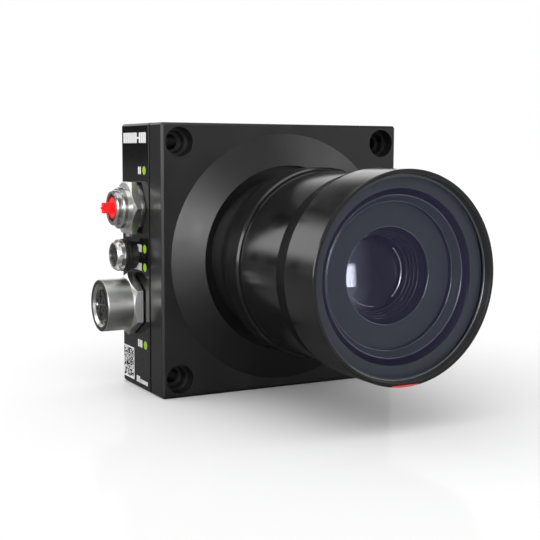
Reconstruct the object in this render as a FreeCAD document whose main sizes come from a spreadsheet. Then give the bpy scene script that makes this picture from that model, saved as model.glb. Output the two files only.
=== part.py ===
import FreeCAD, Part
import os
import re

import Sketcher
from FreeCAD import Rotation, Vector

# Machine vision camera: a square housing with a sealed lens tube on its front
# and three round connectors on its left side.
#
# Frame: +Z up, -Y the way the camera looks, +X to the right seen from behind the
# lens. The origin is the centre of the housing's front face, on the tube's axis.

os.makedirs("parts", exist_ok=True)
doc = FreeCAD.newDocument("machine_vision_camera")

# ---------------------------------------------------------------------------
# Driving dimensions, in millimetres and degrees
# ---------------------------------------------------------------------------

SIZES = [
    # housing: a front plate and a rear tub with the same square outline
    ("housing_side", 80.0),
    ("housing_depth", 32.2),
    ("plate_depth", 9.3),
    ("plate_chamfer", 0.65),
    ("side_chamfer", 0.6),
    ("joint_gap", 0.3),
    ("joint_rebate", 1.0),
    ("joint_chamfer", 0.4),
    ("rear_round", 1.0),
    ("wall", 4.0),
    ("side_wall", 4.5),
    ("post_notch", 10.5),
    ("gasket_inset", 1.0),
    ("gasket_width", 1.6),
    ("gasket_depth", 1.0),
    # corner holes: counterbore, step and through hole
    ("corner_inset", 5.5),
    ("counterbore_radius", 4.25),
    ("counterbore_depth", 4.1),
    ("step_radius", 3.3),
    ("step_depth", 7.1),
    ("through_radius", 2.25),
    # housing screws, put in from the back
    ("screw_inset", 10.6),
    ("screw_radius", 1.5),
    ("screw_head_radius", 2.75),
    ("screw_head_depth", 3.0),
    ("screw_bite", 5.0),
    ("screw_key_radius", 1.25),
    # shallow cone round the tube, and the recess inside it
    ("cone_margin", 2.85),
    ("cone_height", 2.9),
    ("recess_width", 3.5),
    ("recess_floor", 0.6),
    ("web_front", 5.4),
    # lens tube base, screwed into the plate
    ("base_radius", 27.45),
    ("neck_drop", 3.25),
    ("base_thread_step", 0.8),
    ("base_wall", 1.8),
    ("base_shoulder", 16.3),
    ("base_front", 22.85),
    ("base_bevel", 0.5),
    ("spigot_step", 1.6),
    ("spigot_length", 4.9),
    ("fit_gap", 0.05),
    ("base_seal_section", 1.4),
    ("tube_seal_section", 1.6),
    # lens tube
    ("tube_drop", 0.85),
    ("tube_wall", 2.0),
    ("head_rise", 0.3),
    ("tube_step", 43.6),
    ("head_start", 50.1),
    ("tube_front", 64.1),
    ("head_bevel", 0.2),
    ("rim_width", 0.95),
    ("ring_width", 0.5),
    ("seat_width", 4.0),
    ("window_front", 62.05),
    ("window_thickness", 1.75),
    ("window_seal_thickness", 0.4),
    ("seat_thickness", 1.6),
    ("mark_half_width", 4.1),
    ("mark_height", 0.58),
    ("mark_depth", 0.5),
    # lens mount and lens
    ("flange_reach", 1.0),
    ("sensor_distance", 17.526),
    ("mount_clearance", 1.6),
    ("mount_spigot", 17.0),
    ("mount_thread_radius", 12.7),
    ("mount_thread_length", 4.0),
    ("filter_radius", 13.0),
    ("filter_thickness", 1.0),
    ("light_radius", 11.5),
    ("mount_screw_circle", 18.5),
    ("lens_body_start", 3.0),
    ("lens_clearance", 1.4),
    ("lens_body_step", 1.2),
    ("lens_rear_step", 4.0),
    ("focus_seat_radius", 16.6),
    ("focus_seat_start", 15.0),
    ("lens_barrel_front", 31.5),
    ("cell_bore", 14.0),
    ("focus_grooves", 36),
    ("focus_groove_radius", 0.6),
    ("front_barrel_clearance", 1.5),
    ("front_barrel_wall", 1.9),
    ("front_barrel_front", 59.0),
    ("front_barrel_rear", 33.0),
    ("bezel_depth", 2.1),
    ("baffle_front", 55.4),
    ("baffle_radius", 12.83),
    ("baffle_thickness", 1.0),
    ("sleeve_wall", 1.6),
    ("optic_step", 1.2),
    ("sleeve_end", 8.0),
    ("optic_seat", 42.4),
    ("stop_radius", 4.5),
    # image sensor and boards
    ("sensor_side", 30.0),
    ("sensor_depth", 2.3),
    ("package_rim", 5.0),
    ("die_recess", 0.63),
    ("die_thickness", 0.37),
    ("cover_glass_margin", 2.0),
    ("cover_glass_thickness", 0.7),
    ("board_thickness", 1.6),
    ("spacer_radius", 2.5),
    ("chip_side", 18.0),
    ("chip_height", 1.2),
    ("pad_thickness", 0.8),
    ("board_margin", 0.5),
    ("spacer_inset", 4.0),
    # left side: connectors and status lights
    ("connector_depth", 22.0),
    ("socket_reach", 5.0),
    ("coax_height", 14.85),
    ("signal_height", 0.55),
    ("data_height", -14.4),
    ("light_depth", 13.3),
    ("light_radius_outer", 1.27),
    ("light_length", 15.6),
    ("light_height_high", 26.1),
    ("light_height_mid", 2.86),
    ("light_height_low", -2.67),
    ("coax_across", 15.5),
    ("coax_nut_front", 3.1),
    ("coax_washer_thickness", 0.85),
    ("coax_rim_radius", 5.28),
    ("coax_thread_radius", 5.9),
    ("coax_ring_radius", 6.3),
    ("coax_front", 7.1),
    ("coax_bore", 4.2),
    ("plug_radius", 3.13),
    ("plug_reach", 3.0),
    ("data_across", 16.4),
    ("data_radius", 7.87),
    ("data_mouth", 6.6),
    ("data_bore", 6.1),
    ("data_insert_recess", 0.4),
    ("data_front", 11.25),
    ("data_hex_front", 3.1),
    ("data_gasket_thickness", 0.4),
    ("data_spigot", 6.6),
    ("data_insert_radius", 4.7),
    ("signal_radius", 4.1),
    ("signal_ring_radius", 4.75),
    ("signal_seal_radius", 4.92),
    ("signal_neck_radius", 4.2),
    ("signal_bore", 3.5),
    ("signal_front", 6.7),
]

SHEET = "Sizes"
sheet = doc.addObject("Spreadsheet::Sheet", SHEET)
for row, (alias, number) in enumerate(SIZES, start=1):
    sheet.set("A%d" % row, alias)
    sheet.set("B%d" % row, str(number))
    sheet.setAlias("B%d" % row, alias)
doc.recompute()
ALIASES = {alias for alias, _ in SIZES}

# Sizes that follow from the driving ones, so that neighbours keep their fit
DERIVED = {
    "cavity_half": "housing_side / 2 - side_wall",
    "corner_spacing": "housing_side - 2 * corner_inset",
    "screw_spacing": "housing_side - 2 * screw_inset",
    "cone_radius": "housing_side / 2 - cone_margin",
    "neck_radius": "base_radius - neck_drop",
    "lip_radius": "neck_radius + recess_width",
    "base_thread_radius": "neck_radius - base_thread_step",
    "base_bore": "base_thread_radius - base_wall",
    "tube_radius": "base_radius - tube_drop",
    "tube_bore": "tube_radius - tube_wall",
    "spigot_radius": "tube_radius - spigot_step",
    "spigot_bore": "spigot_radius - base_wall",
    "head_radius": "base_radius + head_rise",
    "ring_radius": "head_radius - rim_width",
    "ring_bevel_radius": "ring_radius - ring_width",
    "window_radius": "ring_radius - fit_gap",
    "window_opening": "ring_radius - seat_width",
    "mark_chord": "head_radius - mark_height",
    "flange_plane": "-flange_reach",
    "mount_radius": "base_bore - mount_clearance",
    "focus_radius": "base_bore - lens_clearance",
    "lens_body_radius": "focus_radius - lens_body_step",
    "lens_rear_radius": "lens_body_radius - lens_rear_step",
    "front_barrel_radius": "window_opening - front_barrel_clearance",
    "bezel_radius": "front_barrel_radius - front_barrel_wall",
    "sleeve_bore": "cell_bore - sleeve_wall",
    "optic_bore": "sleeve_bore + optic_step",
    "optic_wall": "optic_bore + optic_step",
    "die_side": "sensor_side - 2 * package_rim",
    "cover_glass_side": "sensor_side - 2 * cover_glass_margin",
    "die_plane": "sensor_distance - flange_reach",
    "package_front": "die_plane - die_recess",
    "board_front": "package_front + sensor_depth",
    "board_rear": "board_front + board_thickness",
    "pad_front": "housing_depth - wall - pad_thickness",
    "rear_board": "pad_front - chip_height - board_thickness",
    "board_gap": "rear_board - board_rear",
    "processor_board_side": "2 * (cavity_half - post_notch - board_margin)",
    "sensor_board_side": "processor_board_side - 1",
    "spacer_spacing": "sensor_board_side - 2 * spacer_inset",
    "light_inner": "light_length - housing_side / 2 - 0.05",
    "light_board_half": "light_height_high + light_radius_outer + 2.5",
    "socket_end": "side_wall + socket_reach",
}

FRONT = "XZ_Plane"    # sketch x is X, sketch y is Z, pads run to -Y
SIDE = "YZ_Plane"     # sketch x is Y, sketch y is Z, pads run to +X
LEVEL = "XY_Plane"    # sketch x is X, sketch y is Y, pads run to +Z
ALONG_Y = Rotation(Vector(1, 0, 0), -90)
ALONG_MINUS_X = Rotation(Vector(0, 1, 0), -90)
REACH = "housing_side"    # longer than any cut needs
BOARD_SCREW = "screw_radius * 0.85"

sub_parts = []


# ---------------------------------------------------------------------------
# Expressions, sketches and features
# ---------------------------------------------------------------------------

def bound(text):
    """The same expression with each driving dimension named in full."""
    def full(match):
        word = match.group(0)
        if word in DERIVED:
            return "(" + bound(DERIVED[word]) + ")"
        return SHEET + "." + word if word in ALIASES else word
    return re.sub(r"[A-Za-z_][A-Za-z_0-9]*", full, text)


def value(text):
    return float(sheet.evalExpression(bound(text)))


def negative(text):
    return "-(" + text + ")"


def add(kind, name):
    return doc.addObject(kind, name)


def keep(obj, label):
    """Record a finished object as the sub-part with this label."""
    obj.Label = label
    sub_parts.append(obj)
    return obj


def new_body(label):
    body = add("PartDesign::Body", "Body_" + label)
    return keep(body, label)


def place(obj, x="0", y="0", z="0", turn=None):
    base = Vector(value(x), value(y), value(z))
    obj.Placement = FreeCAD.Placement(base, turn or Rotation())
    for axis, text in zip("xyz", (x, y, z)):
        if text != "0":
            obj.setExpression("Placement.Base." + axis, bound(text))
    return obj


def sketch_on(body, role, offset="0"):
    """An empty sketch on one of the body's own planes, moved along its normal."""
    plane = [p for p in body.Origin.OriginFeatures if p.Role == role][0]
    sketch = body.newObject("Sketcher::SketchObject", "Sketch")
    sketch.AttachmentSupport = [(plane, "")]
    sketch.MapMode = "FlatFace"
    if offset != "0":
        shift = FreeCAD.Placement(Vector(0, 0, value(offset)), Rotation())
        sketch.AttachmentOffset = shift
        sketch.setExpression("AttachmentOffset.Base.z", bound(offset))
    return sketch


def pin_point(sketch, geometry, point, x, y):
    """Hold one point of the sketch at (x, y), each an expression."""
    for kind, axis, text in (("DistanceX", -2, x), ("DistanceY", -1, y)):
        if text == "0":
            rule = Sketcher.Constraint("PointOnObject", geometry, point, axis)
            sketch.addConstraint(rule)
        else:
            rule = Sketcher.Constraint(kind, -1, 1, geometry, point, value(text))
            index = sketch.addConstraint(rule)
            sketch.setExpression("Constraints[%d]" % index, bound(text))


def outline(sketch, corners):
    """A closed outline of straight lines through corners given as expressions."""
    places = [Vector(value(x), value(y), 0) for x, y in corners]
    first = len(sketch.Geometry)
    count = len(corners)
    for i in range(count):
        line = Part.LineSegment(places[i], places[(i + 1) % count])
        sketch.addGeometry(line, False)
    for i in range(count):
        here, after = first + i, first + (i + 1) % count
        sketch.addConstraint(Sketcher.Constraint("Coincident", here, 2, after, 1))
    for i, (x, y) in enumerate(corners):
        pin_point(sketch, first + i, 1, x, y)


def circle(sketch, x, y, radius):
    centre = Vector(value(x), value(y), 0)
    ring = Part.Circle(centre, Vector(0, 0, 1), value(radius))
    index = sketch.addGeometry(ring, False)
    pin_point(sketch, index, 3, x, y)
    rule = sketch.addConstraint(Sketcher.Constraint("Radius", index, value(radius)))
    sketch.setExpression("Constraints[%d]" % rule, bound(radius))


def square(half):
    """The four corners of a centred square."""
    return [(negative(half), negative(half)), (half, negative(half)),
            (half, half), (negative(half), half)]


def cut_square(half, cut):
    """A square's corners, each cut off at 45 degrees."""
    corners = []
    for x, z, first in ((1, 1, "x"), (-1, 1, "z"), (-1, -1, "x"), (1, -1, "z")):
        side = ["%+d * (%s)" % (x, half), "%+d * (%s - %s)" % (z, half, cut)]
        end = ["%+d * (%s - %s)" % (x, half, cut), "%+d * (%s)" % (z, half)]
        corners += [side, end] if first == "x" else [end, side]
    return corners


def box_corners(x_low, y_low, x_high, y_high):
    return [(x_low, y_low), (x_high, y_low), (x_high, y_high), (x_low, y_high)]


def notched_square(half, notch):
    """A centred square with a square notch taken from each corner."""
    inner = "(" + half + " - (" + notch + "))"
    quarter = [(half, negative(inner)), (half, inner), (inner, inner)]
    corners = []
    for _ in range(4):
        corners += quarter
        quarter = [(negative(y), x) for x, y in quarter]
    return corners


def hexagon(across, turn):
    """Corners of a hexagon of this width across flats, from the angle turn."""
    corner = "(" + across + ") / 2 / cos(30)"
    return [("%s * cos(%g)" % (corner, turn + 60 * i), "%s * sin(%g)" % (corner, turn + 60 * i))
            for i in range(6)]


def extrude(body, kind, sketch, length, reverse=False):
    feature = body.newObject("PartDesign::" + kind, kind)
    feature.Profile = sketch
    feature.Length = value(length)
    feature.setExpression("Length", bound(length))
    feature.Reversed = reverse
    sketch.Visibility = False
    return feature


def pad(body, sketch, length, reverse=False):
    return extrude(body, "Pad", sketch, length, reverse)


def pocket(body, sketch, length, reverse=False):
    return extrude(body, "Pocket", sketch, length, reverse)


def spin(body, kind, sketch):
    feature = body.newObject("PartDesign::" + kind, kind)
    feature.Profile = sketch
    feature.ReferenceAxis = (sketch, ["H_Axis"])
    feature.Angle = 360
    return feature


def turned(label, corners, plane=SIDE):
    """A body turned about its first axis from corners (along, radius)."""
    body = new_body(label)
    sketch = sketch_on(body, plane)
    outline(sketch, corners)
    spin(body, "Revolution", sketch)
    return body


def turn_away(body, corners, plane=SIDE):
    """Cut a turned groove with corners (along, radius) out of the body."""
    sketch = sketch_on(body, plane)
    outline(sketch, corners)
    return spin(body, "Groove", sketch)


def dress(body, kind, size, test):
    """Chamfer or fillet the edges of the body's last feature that pass the test."""
    doc.recompute()
    base = body.Tip
    names = ["Edge%d" % (i + 1) for i, edge in enumerate(base.Shape.Edges) if test(edge)]
    feature = body.newObject("PartDesign::" + kind, kind)
    feature.Base = (base, names)
    property_name = "Size" if kind == "Chamfer" else "Radius"
    setattr(feature, property_name, value(size))
    feature.setExpression(property_name, bound(size))
    return feature


def lies_at(edge, axis, where, half):
    """True for a straight edge in the plane axis = where, on the square's outline."""
    box = edge.BoundBox
    low = getattr(box, axis + "Min")
    high = getattr(box, axis + "Max")
    flat = abs(low - where) < 0.001 and abs(high - where) < 0.001
    reach = max(abs(box.XMin), abs(box.XMax), abs(box.ZMin), abs(box.ZMax))
    return flat and abs(reach - half) < 0.001



def block(name, size_x, size_y, size_z, x="0", y="0", z="0"):
    """A Part box whose near corner is at (x, y, z)."""
    box = add("Part::Box", name)
    for prop, text in (("Length", size_x), ("Width", size_y), ("Height", size_z)):
        setattr(box, prop, value(text))
        box.setExpression(prop, bound(text))
    return place(box, x, y, z)


def rod(name, radius, length, x="0", y="0", z="0", turn=ALONG_Y):
    """A Part cylinder that starts at (x, y, z) and runs along +Y or -X."""
    cylinder = add("Part::Cylinder", name)
    for prop, text in (("Radius", radius), ("Height", length)):
        setattr(cylinder, prop, value(text))
        cylinder.setExpression(prop, bound(text))
    return place(cylinder, x, y, z, turn)


def ball(name, radius, y):
    sphere = add("Part::Sphere", name)
    sphere.Radius = value(radius)
    sphere.setExpression("Radius", bound(radius))
    return place(sphere, y=y)


def cut(name, base, tool):
    feature = add("Part::Cut", name)
    feature.Base = base
    feature.Tool = tool
    return feature


def fuse(name, shapes):
    feature = add("Part::MultiFuse", name)
    feature.Shapes = shapes
    return feature


def common(name, shapes):
    feature = add("Part::MultiCommon", name)
    feature.Shapes = shapes
    return feature


def group(name, shapes):
    feature = add("Part::Compound", name)
    feature.Links = shapes
    return feature


def four_corners(spacing):
    """The four (x, z) places of a centred square pattern."""
    half = spacing + " / 2"
    return [(x, z) for x in (half, negative(half)) for z in (half, negative(half))]


# ---------------------------------------------------------------------------
# Housing
# ---------------------------------------------------------------------------

def make_front_plate():
    body = new_body("front_plate")
    half = "housing_side / 2"
    sketch = sketch_on(body, FRONT)
    outline(sketch, cut_square(half, "side_chamfer"))
    pad(body, sketch, "plate_depth", reverse=True)
    dress(body, "Chamfer", "plate_chamfer",
          lambda edge: lies_at(edge, "Y", 0, value(half)))
    dress(body, "Chamfer", "joint_chamfer",
          lambda edge: lies_at(edge, "Y", value("plate_depth"), value(half)))

    # the shallow cone, then the recess and the bores inside it
    cone = sketch_on(body, SIDE)
    outline(cone, [("0", "lip_radius - 2"), ("-cone_height", "lip_radius - 2"),
                   ("-cone_height", "lip_radius"), ("0", "cone_radius"),
                   ("recess_floor", "cone_radius"), ("recess_floor", "lip_radius - 2")])
    spin(body, "Revolution", cone)
    turn_away(body, [("-cone_height", "0"), ("recess_floor", "0"),
                     ("recess_floor", "lip_radius"), ("-cone_height", "lip_radius")])
    turn_away(body, [("recess_floor", "0"), ("web_front", "0"),
                     ("web_front", "base_thread_radius"),
                     ("recess_floor", "base_thread_radius")])
    bore = sketch_on(body, FRONT)
    circle(bore, "0", "0", "mount_spigot")
    pocket(body, bore, "plate_depth")

    for radius, depth in (("counterbore_radius", "counterbore_depth"),
                          ("step_radius", "step_depth"),
                          ("through_radius", "plate_depth")):
        holes = sketch_on(body, FRONT)
        for x, z in four_corners("corner_spacing"):
            circle(holes, x, z, radius)
        pocket(body, holes, depth)

    # blind holes for the housing screws, the boards and the mount ring
    taps = sketch_on(body, FRONT, "-plate_depth")
    for x, z in four_corners("screw_spacing"):
        circle(taps, x, z, "screw_radius")
    for angle in (45, 135, 225, 315):
        circle(taps, "mount_screw_circle * cos(%d)" % angle,
               "mount_screw_circle * sin(%d)" % angle, "screw_radius / 2")
    for x, z in four_corners("spacer_spacing"):
        circle(taps, x, z, BOARD_SCREW)
    pocket(body, taps, "screw_bite", reverse=True)
    return body


def make_rear_housing():
    body = new_body("rear_housing")
    half = "housing_side / 2"
    sketch = sketch_on(body, FRONT, "-plate_depth")
    outline(sketch, cut_square(half, "side_chamfer"))
    pad(body, sketch, "housing_depth - plate_depth", reverse=True)
    dress(body, "Fillet", "rear_round",
          lambda edge: lies_at(edge, "Y", value("housing_depth"), value(half)))

    # a rebate round the joint, the cavity between four posts, the gasket's groove
    rebate = sketch_on(body, FRONT, "-plate_depth")
    outline(rebate, square(half + " + joint_rebate"))
    outline(rebate, square(half + " - joint_rebate"))
    pocket(body, rebate, "joint_gap")
    dress(body, "Chamfer", "joint_chamfer",
          lambda edge: lies_at(edge, "Y", value("plate_depth + joint_gap"), value(half)))
    cavity = sketch_on(body, FRONT, "-plate_depth")
    outline(cavity, notched_square("cavity_half", "post_notch"))
    pocket(body, cavity, "housing_depth - plate_depth - wall")
    groove = sketch_on(body, FRONT, "-plate_depth")
    outline(groove, notched_square("cavity_half + gasket_inset + gasket_width", "post_notch"))
    outline(groove, notched_square("cavity_half + gasket_inset", "post_notch"))
    pocket(body, groove, "gasket_depth")

    through = sketch_on(body, FRONT, "-plate_depth")
    for x, z in four_corners("corner_spacing"):
        circle(through, x, z, "through_radius")
    for x, z in four_corners("screw_spacing"):
        circle(through, x, z, "screw_radius")
    pocket(body, through, REACH)
    heads = sketch_on(body, FRONT, "-housing_depth")
    for x, z in four_corners("screw_spacing"):
        circle(heads, x, z, "screw_head_radius")
    pocket(body, heads, "screw_head_depth + 0.2", reverse=True)

    # openings in the left wall
    openings = sketch_on(body, SIDE)
    for z, radius in (("coax_height", "coax_thread_radius"),
                      ("signal_height", "signal_neck_radius"),
                      ("data_height", "data_spigot")):
        circle(openings, "connector_depth", z, radius)
    for z in LIGHT_HEIGHTS:
        circle(openings, "light_depth", z, "light_radius_outer")
    pocket(body, openings, REACH)
    return body


def make_housing_gasket():
    body = new_body("housing_gasket")
    sketch = sketch_on(body, FRONT, "-plate_depth")
    outline(sketch, notched_square("cavity_half + gasket_inset + gasket_width", "post_notch"))
    outline(sketch, notched_square("cavity_half + gasket_inset", "post_notch"))
    pad(body, sketch, "gasket_depth", reverse=True)
    return body


def cap_screw(name, x, z):
    """A socket head screw whose head's top is just under the back face."""
    head_top = "housing_depth - 0.2"
    head = rod(name + "_head", "screw_head_radius", "screw_head_depth", x,
               head_top + " - screw_head_depth", z)
    shank = rod(name + "_shank", "screw_radius",
                "housing_depth - 0.2 - screw_head_depth - plate_depth + screw_bite", x,
                "plate_depth - screw_bite", z)
    key = add("Part::Prism", name + "_key")
    key.Polygon = 6
    key.Circumradius = value("screw_key_radius")
    key.setExpression("Circumradius", bound("screw_key_radius"))
    key.Height = value("screw_head_depth")
    key.setExpression("Height", bound("screw_head_depth"))
    place(key, x, head_top + " - screw_head_depth / 2", z, ALONG_Y)
    return cut(name, fuse(name + "_blank", [head, shank]), key)


def make_housing_screws():
    screws = [cap_screw("HousingScrew%d" % i, x, z)
              for i, (x, z) in enumerate(four_corners("screw_spacing"))]
    return keep(group("HousingScrews", screws), "housing_screws")


# ---------------------------------------------------------------------------
# Lens tube
# ---------------------------------------------------------------------------

def make_tube_base():
    body = turned("tube_base", [
        ("web_front - 0.1", "base_bore"), ("web_front - 0.1", "base_thread_radius"),
        ("recess_floor", "base_thread_radius"), ("recess_floor", "neck_radius"),
        ("-base_shoulder", "base_radius"), ("-base_front + base_bevel", "base_radius"),
        ("-base_front", "base_radius - base_bevel"),
        ("-base_front", "spigot_radius + fit_gap"),
        ("-base_front + spigot_length + 0.3", "spigot_radius + fit_gap"),
        ("-base_front + spigot_length + 0.3", "base_bore")])
    turn_away(body, [
        ("recess_floor + 0.2", "base_thread_radius - base_seal_section"),
        ("recess_floor + 0.2 + base_seal_section", "base_thread_radius - base_seal_section"),
        ("recess_floor + 0.2 + base_seal_section", "base_thread_radius"),
        ("recess_floor + 0.2", "base_thread_radius")])
    return body


def make_base_seal():
    return turned("base_seal", [
        ("recess_floor + 0.2", "base_thread_radius - base_seal_section"),
        ("recess_floor + 0.2 + base_seal_section", "base_thread_radius - base_seal_section"),
        ("recess_floor + 0.2 + base_seal_section", "base_thread_radius"),
        ("recess_floor + 0.2", "base_thread_radius")])


def make_lens_tube():
    shoulder = "-base_front - fit_gap"
    seat_front = "-window_front + window_thickness + window_seal_thickness"
    body = turned("lens_tube", [
        (shoulder + " + spigot_length", "spigot_bore"),
        (shoulder + " + spigot_length", "spigot_radius"),
        (shoulder, "spigot_radius"), (shoulder, "tube_radius"),
        ("-tube_step", "tube_radius"), ("-head_start", "head_radius"),
        ("-tube_front + head_bevel", "head_radius"),
        ("-tube_front", "head_radius - head_bevel"), ("-tube_front", "ring_radius"),
        (seat_front, "ring_radius"), (seat_front, "window_opening"),
        (seat_front + " + seat_thickness", "window_opening"),
        (seat_front + " + seat_thickness + 1.8", "tube_bore"),
        (shoulder + " - 1.4", "tube_bore"), (shoulder, "spigot_bore")])
    turn_away(body, tube_seal_corners())
    mark = sketch_on(body, FRONT, "tube_front")
    outline(mark, mark_corners())
    pocket(body, mark, "mark_depth")
    return body


def tube_seal_corners():
    near = "-base_front - fit_gap + 1"
    far = near + " + tube_seal_section"
    return [(near, "spigot_radius - 0.9"), (far, "spigot_radius - 0.9"),
            (far, "spigot_radius"), (near, "spigot_radius")]


def make_tube_seal():
    return turned("tube_seal", tube_seal_corners())


def make_window_seal():
    back = "-window_front + window_thickness"
    return turned("window_seal", [
        (back, "window_opening + 1.2"), (back, "window_radius"),
        (back + " + window_seal_thickness", "window_radius"),
        (back + " + window_seal_thickness", "window_opening + 1.2")])


def make_front_window():
    return keep(rod("FrontWindow", "window_radius", "window_thickness", y="-window_front"),
                "front_window")


def make_front_ring():
    return turned("front_ring", [
        ("-window_front", "ring_bevel_radius"), ("-window_front", "ring_radius"),
        ("-tube_front + 0.1", "ring_radius"), ("-tube_front + 0.1", "ring_radius - 0.2")])


def mark_corners():
    """The strip at the bottom of the tube's rim that holds the index mark."""
    return box_corners(negative("mark_half_width"), "-head_radius - 2",
                       "mark_half_width", "-mark_chord")


def make_index_mark():
    body = new_body("index_mark")
    sketch = sketch_on(body, FRONT, "tube_front")
    outline(sketch, mark_corners())
    pad(body, sketch, "mark_depth", reverse=True)
    turn_away(body, [
        ("-tube_front", "head_radius - head_bevel"), ("-tube_front", "head_radius + 4"),
        ("-tube_front + mark_depth", "head_radius + 4"),
        ("-tube_front + mark_depth", "head_radius"),
        ("-tube_front + head_bevel", "head_radius")])
    return body


# ---------------------------------------------------------------------------
# Lens mount and lens
# ---------------------------------------------------------------------------

def make_lens_mount():
    thread_end = "flange_plane + mount_thread_length + 0.3"
    body = turned("lens_mount", [
        ("flange_plane", "mount_thread_radius"), ("flange_plane", "mount_radius"),
        ("web_front", "mount_radius"), ("web_front", "mount_spigot"),
        ("plate_depth", "mount_spigot"), ("plate_depth", "filter_radius"),
        (thread_end + " + 1", "filter_radius"), (thread_end + " + 1", "light_radius"),
        (thread_end, "light_radius"), (thread_end, "mount_thread_radius")])
    holes = sketch_on(body, FRONT, "flange_reach")
    heads = sketch_on(body, FRONT, "flange_reach")
    for angle in (45, 135, 225, 315):
        x = "mount_screw_circle * cos(%d)" % angle
        z = "mount_screw_circle * sin(%d)" % angle
        circle(holes, x, z, "screw_radius / 2")
        circle(heads, x, z, "screw_radius * 0.8")
    pocket(body, holes, REACH)
    pocket(body, heads, "screw_radius")
    return body


def make_mount_screws():
    screws = []
    for i, angle in enumerate((45, 135, 225, 315)):
        x = "mount_screw_circle * cos(%d)" % angle
        z = "mount_screw_circle * sin(%d)" % angle
        head = rod("MountScrewHead%d" % i, "screw_radius * 0.8", "screw_radius - 0.1", x,
                   "flange_plane + 0.1", z)
        shank = rod("MountScrewShank%d" % i, "screw_radius / 2",
                    "plate_depth - 1 - flange_plane", x, "flange_plane + 0.2", z)
        screws.append(fuse("MountScrew%d" % i, [head, shank]))
    return keep(group("MountScrews", screws), "mount_screws")


def make_filter_glass():
    start = "flange_plane + mount_thread_length + 1.3"
    return keep(rod("FilterGlass", "filter_radius", "filter_thickness", y=start),
                "filter_glass")


def make_lens_barrel():
    body = turned("lens_barrel", [
        ("flange_plane + mount_thread_length", "light_radius - 1"),
        ("flange_plane + mount_thread_length", "mount_thread_radius"),
        ("flange_plane", "mount_thread_radius"), ("flange_plane", "lens_rear_radius"),
        ("-lens_body_start", "lens_rear_radius"), ("-lens_body_start - 1", "lens_body_radius"),
        ("-focus_seat_start", "lens_body_radius"), ("-focus_seat_start", "focus_seat_radius"),
        ("-lens_barrel_front", "focus_seat_radius"), ("-lens_barrel_front", "cell_bore"),
        ("-lens_body_start", "cell_bore"), ("-lens_body_start", "light_radius - 1")])
    return body


def make_focus_ring():
    rear = "-focus_seat_start - 0.3"
    front = "-lens_barrel_front + 1"
    inner = "focus_seat_radius + fit_gap"
    body = turned("focus_ring", [
        (rear, inner), (rear, "focus_radius - 0.4"), (rear + " - 0.4", "focus_radius"),
        (front + " + 0.4", "focus_radius"), (front, "focus_radius - 0.4"), (front, inner)])
    grip = sketch_on(body, FRONT, negative(rear + " - 3"))
    circle(grip, "0", "focus_radius + focus_groove_radius / 3", "focus_groove_radius")
    flute = pocket(body, grip, "lens_barrel_front - focus_seat_start - 6", reverse=True)
    doc.recompute()
    ring = body.newObject("PartDesign::PolarPattern", "Grip")
    ring.Originals = [flute]
    ring.Axis = (grip, ["N_Axis"])
    ring.Angle = 360
    ring.Occurrences = int(value("focus_grooves"))
    ring.setExpression("Occurrences", bound("focus_grooves"))
    body.Tip = ring
    hole = sketch_on(body, LEVEL)
    circle(hole, "0", "(" + rear + " + " + front + ") / 2 + 6", "screw_radius")
    pocket(body, hole, REACH, reverse=True)
    return body


def make_focus_lock_screw():
    centre = "(-focus_seat_start - lens_barrel_front + 0.7) / 2 + 6"
    rest = "focus_seat_radius + 0.2"
    post = rod("LockPost", "screw_radius", "focus_radius - 0.2 - focus_seat_radius - 0.2",
               "0", centre, rest, Rotation())
    slot = block("LockSlot", "4 * screw_radius", "screw_radius / 3", "0.8",
                 "-2 * screw_radius", centre + " - screw_radius / 6",
                 "focus_radius - 1")
    return keep(cut("LockScrew", post, slot), "focus_lock_screw")


def make_front_barrel():
    rim = "front_barrel_radius - 0.4"
    body = turned("front_barrel", [
        ("-front_barrel_front", rim), ("-front_barrel_front", "front_barrel_radius"),
        ("-front_barrel_rear", "front_barrel_radius"),
        ("-front_barrel_rear", "cell_bore - fit_gap"),
        ("-sleeve_end", "cell_bore - fit_gap"), ("-sleeve_end", "sleeve_bore"),
        ("-optic_seat", "sleeve_bore"), ("-optic_seat", "optic_bore"),
        ("-baffle_front + baffle_thickness", "optic_bore"),
        ("-baffle_front + baffle_thickness", "optic_wall"),
        ("-front_barrel_rear - 3", "optic_wall"), ("-front_barrel_rear - 3", "bezel_radius"),
        ("-front_barrel_front + bezel_depth", "bezel_radius")])
    return body


def make_front_baffle():
    body = turned("front_baffle", [
        ("-baffle_front", "baffle_radius"), ("-baffle_front", "bezel_radius"),
        ("-baffle_front + baffle_thickness", "bezel_radius"),
        ("-baffle_front + baffle_thickness", "baffle_radius + 0.4")])
    return body


def make_front_retainer():
    steps = [("-baffle_front + 2.9", "optic_bore")]
    for i in range(4):
        along = "-baffle_front + 2.9 + %g" % (1.1 * i)
        steps += [(along, "optic_bore - 2 - %g" % (0.45 * i)),
                  (along + " + 1.1", "optic_bore - 2 - %g" % (0.45 * i))]
    steps += [("-baffle_front + 7.3", "optic_bore")]
    return turned("front_retainer", steps)


def make_front_element():
    """A biconvex glass against the seat: a rod within two large balls."""
    edge = rod("FrontElementEdge", "optic_bore", "10", y="-optic_seat - 8")
    fore = ball("FrontElementFore", "42", "-optic_seat - 7 + 42")
    back = ball("FrontElementBack", "90", "-optic_seat + 0.3 - 90")
    return keep(common("FrontElement", [edge, fore, back]), "front_element")


def make_middle_element():
    edge = rod("MiddleElementEdge", "sleeve_bore", "5", y="-optic_seat + 9")
    fore = ball("MiddleElementFore", "40", "-optic_seat + 9 + 1.4 - 40")
    back = ball("MiddleElementBack", "40", "-optic_seat + 14 - 1.4 + 40")
    return keep(cut("MiddleElement", cut("MiddleHollow", edge, fore), back),
                "middle_element")


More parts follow.
